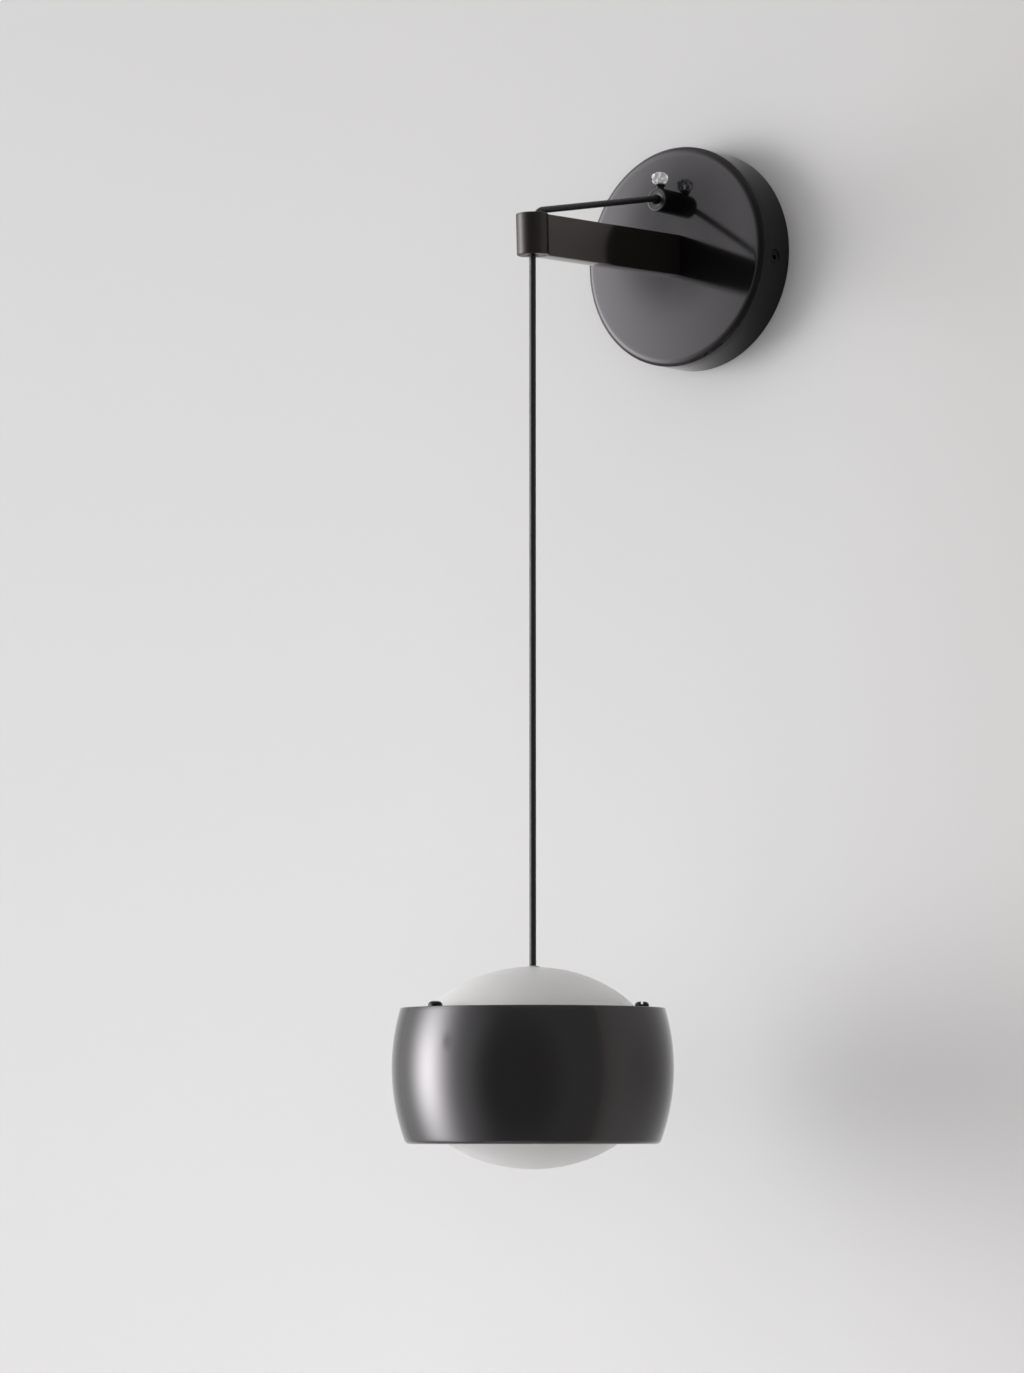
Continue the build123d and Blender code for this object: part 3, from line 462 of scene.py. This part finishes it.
for ring, (_, ringHeight) in enumerate(clampPlan["rings"][1:-1]):
    pick(knob, lambda p: abs(p.z - ringHeight) < near)
    knobMesh = bmesh.from_edit_mesh(knob.data)
    for vertex in knobMesh.verts:  # every other point of the ring goes in, to leave a ridge
        spoke = vertex.co.xy / mm - Vector((0, -clampPlan["out"]))
        step = round(degrees(spoke.angle_signed(Vector((0, 1)))) / 180 * clampPlan["facets"])
        onThis = abs(vertex.co.z / mm - ringHeight) < near
        vertex.select_set(onThis and (step + ring // 2) % 2 == 0)
    bpy.ops.mesh.select_mode(type="VERT")
    bmesh.update_edit_mesh(knob.data)
    bpy.ops.transform.resize(value=(clampPlan["valley"],) * 2 + (1,),
                             center_override=(0, -clampPlan["out"] * mm, ringHeight * mm))
bpy.ops.mesh.select_all(action="SELECT")
bpy.ops.mesh.quads_convert_to_tris(quad_method="SHORTEST_DIAGONAL")
bpy.ops.object.mode_set(mode="OBJECT")
finishPiece(knob, clearAcrylic, "clamp_screw", "clear_nylon", "grip_clamp_screw", smooth=0)
print("grip made")

# Shade band: a spun barrel with an in-turned foot and a rolled rim
bandPlan = {"widest": 72.9, "barrel": 108.0, "middle": -440.5, "rise": 30.8, "drop": 39.2,
            "wall": 1.5, "corner": 3.0, "footHole": 46.7, "edge": 0.35, "steps": 240, "rows": 30,
            "cornerRows": 8, "innerCornerRows": 5}
barrelMiddle = (bandPlan["widest"] - bandPlan["barrel"], 0)
innerBarrel = bandPlan["barrel"] - bandPlan["wall"]
rimTurn = degrees(asin(bandPlan["rise"] / bandPlan["barrel"]))
innerRimTurn = degrees(asin(bandPlan["rise"] / innerBarrel))
cornerDrop = bandPlan["drop"] - bandPlan["corner"]
cornerTurn = -degrees(asin(cornerDrop / (bandPlan["barrel"] - bandPlan["corner"])))
cornerOut = barrelMiddle[0] + (bandPlan["barrel"] - bandPlan["corner"]) * cos(radians(cornerTurn))
cornerMiddle = (cornerOut, -cornerDrop)
bandOutline = arc(barrelMiddle, bandPlan["barrel"], rimTurn, cornerTurn, bandPlan["rows"])
bandOutline += arc(cornerMiddle, bandPlan["corner"], cornerTurn, -90, bandPlan["cornerRows"])[1:]
bandOutline += [(bandPlan["footHole"], -bandPlan["drop"]),
                (bandPlan["footHole"], bandPlan["wall"] - bandPlan["drop"])]
bandOutline += arc(cornerMiddle, bandPlan["corner"] - bandPlan["wall"], -90, cornerTurn,
                   bandPlan["innerCornerRows"])
bandOutline += arc(barrelMiddle, innerBarrel, cornerTurn, innerRimTurn, bandPlan["rows"])[1:]
shadeBand = turned("shadeBand", bandOutline + bandOutline[:1], bandPlan["steps"],
                   hangPlace @ standing(0, 0, bandPlan["middle"]))
rimHeight = bandPlan["middle"] + bandPlan["rise"]


def fromHang(p):  # a point's distance from the hanging cord, in mm
    return sqrt(p.x ** 2 + (p.y - hangY / mm) ** 2)


bevelEdges(shadeBand, bandPlan["edge"], 4, lambda p: abs(p.z - rimHeight) < near)
bevelEdges(shadeBand, bandPlan["edge"], 3,
           lambda p: fromHang(p) < bandPlan["footHole"] + 2 * near)
finishPiece(shadeBand, bandNickel, "pendant", "band_nickel", "shade_band")

# Opal glass: two blown domes, the upper one pierced for the cord
glassPlan = {"radius": 66.5, "half": 52.1, "wall": 3.0, "gap": 1.6, "hole": 3.0, "steps": 192,
             "rows": 44}
glassStart = asin(glassPlan["gap"] / glassPlan["half"])
for side, name, node in ((1, "upperDome", "upper_glass"), (-1, "lowerDome", "lower_glass")):
    glassEnd = acos(glassPlan["hole"] / glassPlan["radius"]) if side == 1 else pi / 2
    turns = [glassStart + (glassEnd - glassStart) * i / glassPlan["rows"]
             for i in range(glassPlan["rows"] + 1)]
    domeOutline = [(glassPlan["radius"] * cos(t), side * glassPlan["half"] * sin(t)) for t in turns]
    if side == -1:
        domeOutline[-1] = (0, -glassPlan["half"])
    dome = turned(name, domeOutline, glassPlan["steps"],
                  hangPlace @ standing(0, 0, bandPlan["middle"]))
    openTop(dome, lambda p: abs(p.z - bandPlan["middle"] - side * glassPlan["gap"]) < near
            or (side == 1 and abs(fromHang(p) - glassPlan["hole"]) < near))
    applyModifier(dome, "wall", "SOLIDIFY", thickness=glassPlan["wall"] * mm, offset=-1,
                  use_even_offset=True)
    finishPiece(dome, opalGlass, "pendant", "opal_glass", node)

# Rim screws: black slotted pan heads, each slot as it was left when driven
rimScrewPlan = {"pitch": 61.3, "seat": -410.0, "head": 3.7, "height": 3.0, "low": 0.9,
                "corner": 2.1, "shank": 2.0, "length": 5.0, "slotWidth": 1.1, "slotDeep": 1.35,
                "slotLong": 9.25, "underEdge": 0.2, "headRows": 8, "steps": 56,
                "turns": ((15, -50.8), (135, 20.0), (255, 40.0))}  # place, turn of its slot
cornerAt = (rimScrewPlan["head"] - rimScrewPlan["corner"], rimScrewPlan["low"])
panOutline = [(rimScrewPlan["shank"], -rimScrewPlan["length"]), (rimScrewPlan["shank"], 0),
              (rimScrewPlan["head"] - rimScrewPlan["underEdge"], 0),
              (rimScrewPlan["head"], rimScrewPlan["underEdge"])]
panOutline += arc(cornerAt, rimScrewPlan["corner"], 0, 90, rimScrewPlan["headRows"])
panOutline.append((0, rimScrewPlan["height"]))
rimScrew = turned("rimScrew3", panOutline, rimScrewPlan["steps"])
slotCutter = block("slot", (rimScrewPlan["slotLong"], rimScrewPlan["slotWidth"],
                            2 * rimScrewPlan["slotDeep"]), (0, 0, rimScrewPlan["height"]))
cut(rimScrew, slotCutter)
for number, (angle, slotTurn) in enumerate(rimScrewPlan["turns"]):
    copy = rimScrew if number == 2 else rimScrew.copy()
    copy.data = rimScrew.data if number == 2 else rimScrew.data.copy()
    copy.name = f"rimScrew{number + 1}"
    if number < 2:
        bpy.context.collection.objects.link(copy)
    copy.matrix_world = (hangPlace
                         @ standing(rimScrewPlan["pitch"] * cos(radians(angle)),
                                    rimScrewPlan["pitch"] * sin(radians(angle)),
                                    rimScrewPlan["seat"])
                         @ Matrix.Rotation(radians(slotTurn), 4, "Z"))
    only(copy)
    bpy.ops.object.transform_apply(location=True, rotation=True, scale=True)
    finishPiece(copy, blackOxide, "pendant", "black_screw", "rim_screws")
print("pendant made")

# The cords follow the routes of the part's own tubes, with lengths and heights in metres
cordSize = {"radius": 1.75 * mm, "wireRadius": 0.9 * mm, "neckStart": -0.004,
            "bendStart": -0.011, "bendEnd": -0.025, "neckEnd": -0.035, "swayStart": -0.036,
            "swayEnd": -0.048, "dropStart": -0.066, "tailStart": -0.3664, "tailEnd": -0.3964,
            "leadEnd": -0.4465, "travel": 0.15, "bendPoints": 12, "tailPoints": 4,
            "leadPoints": 5}
upperRoute = [(0, -0.0195, 0.029), (0, -0.035, 0.029), (0, -0.0395, 0.0296), (0, -0.0583, 0.02567),
              (0, -0.1277, 0.01115), (0, -0.145, 0.00767), (0, -0.145, -0.010)]
innerRoute = [(0, -0.0195, 0.029), (0, -0.008, 0.029), (0.022, -0.007, 0.024),
              (0.040, -0.008, 0.006), (0.044, -0.009, -0.016), (0.040, -0.010, -0.034),
              (0.027, -0.010, -0.034)]


def splinePath(route):  # points along the route's own NURBS spline
    curve = bpy.data.curves.new("path", "CURVE")
    curve.dimensions = "3D"
    curve.resolution_u = 24
    spline = curve.splines.new("NURBS")
    spline.points.add(len(route) - 1)
    for point, place in zip(spline.points, route):
        point.co = (*place, 1)
    spline.order_u = 3
    spline.use_endpoint_u = True
    return curve


def makeCord(name, route, body, radius=cordSize["radius"], asMesh=False,
             material=cordSheath):
    curve = splinePath(route)
    line = bpy.data.objects.new(name, curve)
    bpy.context.collection.objects.link(line)
    if asMesh:
        bpy.context.view_layer.update()
        plain = bpy.data.meshes.new_from_object(line)
        bpy.data.meshes.remove(plain)
    curve.bevel_depth = radius
    curve.bevel_resolution = 6
    curve.use_fill_caps = True
    curve.materials.append(material)
    if asMesh:
        bpy.ops.object.select_all(action="DESELECT")
        line.select_set(True)
        bpy.context.view_layer.objects.active = line
        bpy.ops.object.convert(target="MESH")
        line = bpy.context.view_layer.objects.active
        bpy.ops.object.shade_smooth()
    if body:
        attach(line, body)
    return line


def straightRun(top, bottom, count):  # points down the hanging cord's line
    return [(0, hangY, top + (bottom - top) * i / (count - 1)) for i in range(count)]


upperCord = makeCord("upperCord", upperRoute, "wall_part")
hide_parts("cord_upper")
innerCord = makeCord("innerCord", innerRoute, "wall_part")
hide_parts("cord_inner")

bendRun = straightRun(cordSize["neckStart"], cordSize["neckEnd"], cordSize["bendPoints"])
bendCord = makeCord("bendCord", bendRun, None, asMesh=True)
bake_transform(bendCord)
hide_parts("cord_neck")

swayRun = straightRun(cordSize["neckEnd"], cordSize["dropStart"], cordSize["bendPoints"])
swayCord = makeCord("swayCord", swayRun, None, asMesh=True)
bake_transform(swayCord)

dropRun = straightRun(cordSize["dropStart"], cordSize["tailStart"], cordSize["bendPoints"])
dropCord = makeCord("dropCord", dropRun, "cord_hang", asMesh=True)
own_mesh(dropCord)
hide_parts("cord_drop")

tailRun = straightRun(cordSize["tailStart"], cordSize["tailEnd"], cordSize["tailPoints"])
tailCord = makeCord("tailCord", tailRun, "cord_end")
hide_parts("cord_tail")
leadRun = straightRun(cordSize["tailEnd"], cordSize["leadEnd"], cordSize["leadPoints"])
leadCord = makeCord("leadCord", leadRun, "pendant")
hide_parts("pendant_lead")

wireRoutes = {"supplyWireLive": [(-0.0375, -0.009, 0.012), (-0.0375, -0.009, -0.001),
                                 (-0.045, -0.009, -0.015), (-0.045, -0.009, -0.034),
                                 (-0.027, -0.009, -0.034)],
              "supplyWireNeutral": [(-0.0225, -0.009, 0.012), (-0.0225, -0.009, -0.001),
                                    (-0.041, -0.009, -0.015), (-0.041, -0.009, -0.030),
                                    (-0.027, -0.009, -0.030)]}
for name, route in wireRoutes.items():
    wire = makeCord(name, route, "wall_part", radius=cordSize["wireRadius"],
                    material=wireSheath)
    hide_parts("supply_wires")
print("cords made")

# Stage: a pale wall, open behind the canopy, and a floor far below
# The colours after low are painted shade in the wall's colour: high darkens it high up, side far to
# the right (warmer too, a painted warm light for the metal to mirror), and the lamp-side colour
# darkens it to the left
stageSize = {"wallLeft": -1.2, "wallRight": 1.2, "wallTop": 1.6, "floor": -2.6, "front": -1.7,
             "gap": 0.4 * mm, "hole": 56 * mm, "fade": (-0.65, 0.2), "far": (0.08, 0.8),
             "near": (-0.2, -1.2), "low": "#e8e7e8", "high": "#d5d4d4", "side": "#c8c0bb",
             "lampSideShade": "#cdcccd"}


def oneSided(name, hole=0.0):
    # Painted plaster that can't be seen from behind, its colour darkened by painted shade high up,
    # far to the right and to the left on the lamp's side; far to the right it is also warmer, a
    # painted warm light that the metal mirrors
    tone = linearColour(stageSize["low"])
    material, tree, shader, coords = newMaterial(name, {
        "Base Color": tone, "Roughness": 0.9, "Specular IOR Level": 0.0})
    along = addNode(tree, "ShaderNodeSeparateXYZ", {}, {0: coords})
    # Each mix paints shade into the colour by height or by place along the wall
    for axis, reach, colour in (("Z", "fade", "high"), ("X", "far", "side"),
                                ("X", "near", "lampSideShade")):
        share = addNode(tree, "ShaderNodeMapRange", {"From Min": stageSize[reach][0],
                                                     "From Max": stageSize[reach][1]},
                        {"Value": along.outputs[axis]})
        mix = addNode(tree, "ShaderNodeMix",
                      {"data_type": "RGBA", 6: linearColour(stageSize["low"]),
                       7: linearColour(stageSize[colour])}, {0: share.outputs[0]})
        if colour != "high":
            tree.links.new(tone, mix.inputs[6])
        tone = mix.outputs[2]
    tree.links.new(tone, shader.inputs["Base Color"])
    rough = addNode(tree, "ShaderNodeTexNoise", {"Scale": 40.0, "Detail": 4.0}, {"Vector": coords})
    bump = addNode(tree, "ShaderNodeBump", {"Strength": 0.05, "Distance": 0.5 * mm},
                   {"Height": rough.outputs[0]})
    tree.links.new(bump.outputs[0], shader.inputs["Normal"])
    hidden = addNode(tree, "ShaderNodeNewGeometry").outputs["Backfacing"]
    if hole:  # open behind the canopy, where nothing of the wall shows
        reach = addNode(tree, "ShaderNodeVectorMath", {"operation": "LENGTH"}, {0: coords})
        inHole = addNode(tree, "ShaderNodeMath", {"operation": "LESS_THAN", 1: hole},
                         {0: reach.outputs["Value"]})
        hidden = addNode(tree, "ShaderNodeMath", {"operation": "MAXIMUM"},
                         {0: hidden, 1: inHole.outputs[0]}).outputs[0]
    clear = addNode(tree, "ShaderNodeBsdfTransparent")
    both = addNode(tree, "ShaderNodeMixShader", {},
                   {0: hidden, 1: shader.outputs[0], 2: clear.outputs[0]})
    tree.links.new(both.outputs[0], tree.nodes["Material Output"].inputs["Surface"])
    return material


def stagePlane(name, middle, width, depth, turn, material):
    bpy.ops.object.select_all(action="DESELECT")
    bpy.ops.mesh.primitive_plane_add(size=1, location=middle, rotation=turn)
    plane = bpy.context.object
    plane.name = name
    plane.scale = (width, depth, 1)
    bpy.ops.object.transform_apply(location=True, rotation=True, scale=True)
    plane.data.materials.append(material)
    return plane


wallWidth = stageSize["wallRight"] - stageSize["wallLeft"]
wallHeight = stageSize["wallTop"] - stageSize["floor"]
wallMiddle = (stageSize["wallLeft"] + stageSize["wallRight"]) / 2
stagePlane("wall", (wallMiddle, stageSize["gap"],
                    (stageSize["wallTop"] + stageSize["floor"]) / 2),
           wallWidth, wallHeight, (pi / 2, 0, 0), oneSided("wallPaint", stageSize["hole"]))
stagePlane("floor", (wallMiddle, stageSize["front"] / 2, stageSize["floor"]),
           wallWidth, -stageSize["front"], (0, 0, 0), oneSided("floorPaint"))

# One large softbox, brightest in its middle and fading to its edge, and a weak fill opposite
lightPlan = {"aim": Vector((0, hangY, -0.40)),
             "window": {"toward": Vector((-0.862, -0.507, 0.03)), "distance": 4.6, "size": 5.2,
                        "power": 580.0, "fade": True},
             "fill": {"toward": Vector((0.62, -0.78, 0.0)), "distance": 4.0, "size": 3.0,
                      "power": 20.0, "fade": False}}
for name in ("window", "fill"):
    plan = lightPlan[name]
    lampLight = bpy.data.lights.new(name, "AREA")
    lampLight.shape = "ELLIPSE"
    lampLight.size = lampLight.size_y = plan["size"]
    lampLight.energy = plan["power"]
    if plan["fade"]:
        lampLight.use_nodes = True
        lampTree = lampLight.node_tree
        across = addNode(lampTree, "ShaderNodeNewGeometry").outputs["Parametric"]
        fromMiddle = addNode(lampTree, "ShaderNodeVectorMath",
                             {"operation": "DISTANCE", 1: (0.5, 0.5, 0.0)}, {0: across})
        fade = addNode(lampTree, "ShaderNodeMapRange",
                       {"interpolation_type": "SMOOTHERSTEP", "From Min": 0.5, "From Max": 0.0},
                       {"Value": fromMiddle.outputs["Value"]})
        lampTree.links.new(fade.outputs[0], lampTree.nodes["Emission"].inputs["Strength"])
    lamp = bpy.data.objects.new(name, lampLight)
    bpy.context.collection.objects.link(lamp)
    toward = plan["toward"].normalized()
    lamp.location = lightPlan["aim"] + toward * plan["distance"]
    lamp.rotation_euler = toward.to_track_quat("Z", "Y").to_euler()
    lamp.visible_camera = lamp.visible_glossy = lamp.visible_transmission = False

# Room: what the metal mirrors, in sRGB tones and in degrees round the lamp
roomPlan = {"grey": "#959494", "dark": "#727070", "sky": "#d8d8d8", "skyFrom": 0.55,
            "skyTo": 0.95, "glow": "#ffffff", "backdrop": "#dadadb",
            "cameraSide": Vector((0.46, -0.89, -0.1)), "darkFrom": 46.0, "darkTo": 14.0,
            "glowFrom": 75.0, "glowTo": 25.0, "windowTurn": -55.5, "windowHalfWide": 11.6,
            "windowHalfHigh": 20.0, "windowLong": 100.0, "windowGlow": 12.5, "beforeFrom": 90.0,
            "beforeTo": 80.0, "shadeSide": Vector((-0.5954, -0.7781, 0.2005)), "shadeFrom": 4.8,
            "shadeTo": 1.0, "shadeDepth": 0.74}
world = bpy.data.worlds.new("room")
bpy.context.scene.world = world
world.use_nodes = True
tree = world.node_tree
background = tree.nodes["Background"]
direction = addNode(tree, "ShaderNodeTexCoord").outputs["Generated"]


def directionMask(tree, toward, angleFrom, angleTo):  # 0 beyond angleFrom, 1 within angleTo
    along = addNode(tree, "ShaderNodeVectorMath",
                    {"operation": "DOT_PRODUCT", 1: toward.normalized()}, {0: direction})
    return addNode(tree, "ShaderNodeMapRange",
                   {"interpolation_type": "SMOOTHSTEP", "From Min": cos(radians(angleFrom)),
                    "From Max": cos(radians(angleTo))}, {"Value": along.outputs["Value"]})


darkMask = directionMask(tree, roomPlan["cameraSide"], roomPlan["darkFrom"], roomPlan["darkTo"])
glowMask = directionMask(tree, lightPlan["window"]["toward"], roomPlan["glowFrom"],
                         roomPlan["glowTo"])
glow = addNode(tree, "ShaderNodeMix",
               {"data_type": "RGBA", 6: linearColour(roomPlan["grey"]),
                7: linearColour(roomPlan["glow"])}, {0: glowMask.outputs[0]})
room = addNode(tree, "ShaderNodeMix", {"data_type": "RGBA", 7: linearColour(roomPlan["dark"])},
               {0: darkMask.outputs[0], 6: glow.outputs[2]})
height = addNode(tree, "ShaderNodeSeparateXYZ", {}, {0: direction}).outputs["Z"]
skyMask = addNode(tree, "ShaderNodeMapRange",
                  {"interpolation_type": "SMOOTHSTEP", "From Min": roomPlan["skyFrom"],
                   "From Max": roomPlan["skyTo"]}, {"Value": height})
ceiling = addNode(tree, "ShaderNodeMix", {"data_type": "RGBA", 7: linearColour(roomPlan["sky"])},
                  {0: skyMask.outputs[0], 6: room.outputs[2]})
# What mirrors or refracts sees the softbox as a soft upright glow, a little dimmer where the
# upper part of the canopy's face looks
ray = addNode(tree, "ShaderNodeLightPath")
mirrored = addNode(tree, "ShaderNodeMath", {"operation": "MAXIMUM"},
                   {0: ray.outputs["Is Glossy Ray"], 1: ray.outputs["Is Transmission Ray"]})
widths = [sqrt(2) * sin(radians(roomPlan[part])) for part in ("windowHalfWide", "windowHalfHigh")]
fromWindow = addNode(tree, "ShaderNodeMapping",
                     {"vector_type": "TEXTURE",
                      "Scale": (widths[0], roomPlan["windowLong"], widths[1]),
                      "Rotation": (0, 0, radians(roomPlan["windowTurn"]))}, {0: direction})
squared = addNode(tree, "ShaderNodeVectorMath", {"operation": "DOT_PRODUCT"},
                  {0: fromWindow.outputs[0], 1: fromWindow.outputs[0]})
falling = addNode(tree, "ShaderNodeMath", {"operation": "MULTIPLY", 1: -1.0},
                  {0: squared.outputs["Value"]})
bell = addNode(tree, "ShaderNodeMath", {"operation": "EXPONENT"}, {0: falling.outputs[0]})
windowSide = Matrix.Rotation(radians(roomPlan["windowTurn"]), 3, "Z") @ Vector((0, -1, 0))
before = directionMask(tree, windowSide, roomPlan["beforeFrom"], roomPlan["beforeTo"])
shade = directionMask(tree, roomPlan["shadeSide"], roomPlan["shadeFrom"], roomPlan["shadeTo"])
dimmed = addNode(tree, "ShaderNodeMath",
                 {"operation": "MULTIPLY_ADD", 1: -roomPlan["shadeDepth"], 2: 1.0},
                 {0: shade.outputs[0]})
softbox = bell
for factor in (mirrored, before, dimmed):
    softbox = addNode(tree, "ShaderNodeMath", {"operation": "MULTIPLY"},
                      {0: softbox.outputs[0], 1: factor.outputs[0]})
softboxTone = addNode(tree, "ShaderNodeVectorMath",
                      {"operation": "SCALE", 0: (roomPlan["windowGlow"],) * 3},
                      {"Scale": softbox.outputs[0]})
lit = addNode(tree, "ShaderNodeVectorMath", {"operation": "ADD"},
              {0: ceiling.outputs[2], 1: softboxTone.outputs[0]})
colour = addNode(tree, "ShaderNodeMix",
                 {"data_type": "RGBA", 7: linearColour(roomPlan["backdrop"])},
                 {0: ray.outputs["Is Camera Ray"], 6: lit.outputs[0]})
tree.links.new(colour.outputs[2], background.inputs["Color"])
background.inputs["Strength"].default_value = 1.0

# Camera: fitted to the outlines in the photograph
cameraPlan = {"place": (1.66219, -2.18119, -0.47685), "yaw": 39.46, "pitch": 5.09,
              "lens": 133.06, "sensor": 36.0}
cameraData = bpy.data.cameras.new("camera")
cameraData.sensor_fit = "VERTICAL"
cameraData.sensor_height = cameraPlan["sensor"]
cameraData.lens = cameraPlan["lens"]
camera = bpy.data.objects.new("camera", cameraData)
bpy.context.collection.objects.link(camera)
camera.location = cameraPlan["place"]
camera.rotation_euler = (radians(90 + cameraPlan["pitch"]), 0, radians(cameraPlan["yaw"]))
bpy.context.scene.camera = camera
bpy.context.scene.view_settings.view_transform = "Standard"
print("stage, lights and camera made")
